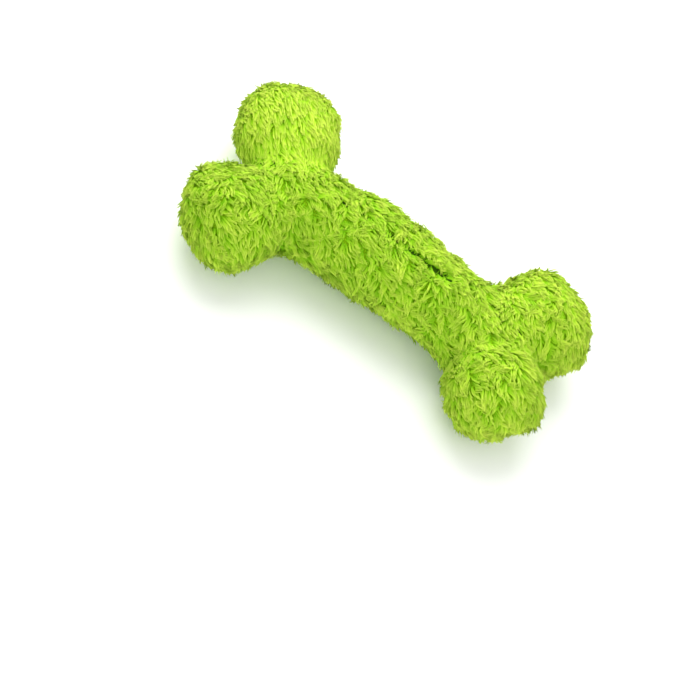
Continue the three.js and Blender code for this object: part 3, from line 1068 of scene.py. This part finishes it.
def mouldedMaterial(name, hexes, roughness, grain, depth, settings):
    # moulded plastic: a faint flow in the colour, and a fine uneven skin that breaks up the gloss
    material, tree = newMaterial(name)
    place = objectPlace(tree)
    flow = addNode(tree, "ShaderNodeTexNoise", {"Scale": 1 / squeaker["flowSize"], "Detail": 2.0,
                                                "Distortion": 1.0}, {0: place})
    colour = addRamp(tree, flow.outputs[0], [(0.3, hexes[0]), (0.7, hexes[1])])
    skinNoise = addNode(tree, "ShaderNodeTexNoise", {"Scale": 1 / grain, "Detail": 3.0}, {0: place})
    gloss = addNode(tree, "ShaderNodeMapRange", {1: 0.3, 2: 0.7, 3: roughness[0], 4: roughness[1]},
                    {0: skinNoise.outputs[0]})
    bump = addBump(tree, 0.3, depth, skinNoise.outputs[0])
    finishMaterial(tree, settings, {"Base Color": colour, "Roughness": gloss.outputs[0], "Normal": bump})
    return material


def squeakerPieces():
    at = squeaker
    wall, hole = at["wall"], at["holeRadius"]
    low, high = (Vector(c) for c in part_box("squeaker_base"))
    outer = high.x
    base = [(hole, low.z), (outer, low.z), (outer, high.z), (outer - wall, high.z),
            (outer - wall, low.z + wall), (hole, low.z + wall)]
    low, high = (Vector(c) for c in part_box("squeaker_cap"))
    ring, half, deep = at["ringRadius"], at["ringWidth"] / 2, at["ringDepth"]
    cap = [(0, high.z - wall), (outer - wall, high.z - wall), (outer - wall, low.z), (outer, low.z),
           (outer, high.z - wall)]
    cap += [(outer - wall * (1 - math.cos(a)), high.z - wall * (1 - math.sin(a))) for a in at["capRound"]]
    cap += [(outer - wall, high.z), (ring + 2 * half, high.z), (ring + half, high.z - deep),
            (ring - half, high.z - deep), (ring - 2 * half, high.z), (0, high.z)]
    low, high = (Vector(c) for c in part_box("squeaker_bellows"))
    turns = np.linspace(0, at["pleats"], at["pleats"] * at["pleatPoints"] + 1)
    radii = high.x - at["fold"] * (1 - np.cos(2 * math.pi * turns)) / 2
    heights = low.z + (high.z - low.z) * turns / at["pleats"]
    bellows = list(zip(radii, heights)) + list(zip(radii - at["bellowsWall"], heights))[::-1]
    low, high = (Vector(c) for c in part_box("reed_tube"))
    flangeTop, ledgeTop = low.z + at["flange"], low.z + at["ledge"]
    tube = [(at["airHole"], low.z), (high.x, low.z), (high.x, flangeTop), (at["tubeRadius"], flangeTop),
            (at["tubeRadius"], high.z), (at["boreRadius"], high.z), (at["boreRadius"], ledgeTop),
            (at["airHole"], ledgeTop)]
    return {
        "squeaker_base": spunPiece("squeaker_base_cup", base, at["edgeRound"]),
        "squeaker_cap": spunPiece("squeaker_cap_cup", cap, at["edgeRound"]),
        "squeaker_bellows": spunPiece("squeaker_pleats", bellows, 0),
        "reed_tube": spunPiece("reed_holder", tube, at["edgeRound"]),
        "reed_clamp": softened("reed_plug", "reed_clamp", at["plugRound"]),
        "reed_tongue": softened("reed_strip", "reed_tongue", at["stripRound"]),
    }


def buildSqueaker():
    # blow-moulded low-density polyethylene: milky, waxy, with a soft shine
    waxy = mouldedMaterial("milky_polyethylene", ("#dfe4e2", "#eef1ef"), (0.38, 0.5), 0.0012, 0.0001,
                           {"Subsurface Weight": 0.15, "Subsurface Radius": (0.002, 0.002, 0.002)})
    # injection-moulded polystyrene: ivory, hard and glossy
    hard = mouldedMaterial("ivory_polystyrene", ("#efecdf", "#f8f6ee"), (0.18, 0.28), 0.0008, 0.00004, {})
    # polyester film: thin, grey and smooth
    film = mouldedMaterial("grey_polyester_film", ("#c9cec2", "#dadfd4"), (0.12, 0.24), 0.0005, 0.00003, {})
    finishes = {"squeaker": (waxy, "soft_polyethylene"), "reed_tube": (hard, "hard_polystyrene"),
                "reed_clamp": (hard, "hard_polystyrene"), "reed_tongue": (film, "reed_film")}
    bodies = {"squeaker_cap": "squeaker_top", "reed_tongue": "reed"}
    for node, piece in squeakerPieces().items():
        finish, slot = finishes["squeaker" if node.startswith("squeaker") else node]
        piece.data.materials.clear()
        piece.data.materials.append(finish)
        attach(piece, bodies.get(node, "bone"))
        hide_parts(node)
        if node == "squeaker_bellows":
            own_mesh(piece)


buildSqueaker()
bpy.data.objects.remove(skin, do_unlink=True)
print("stage: squeaker")
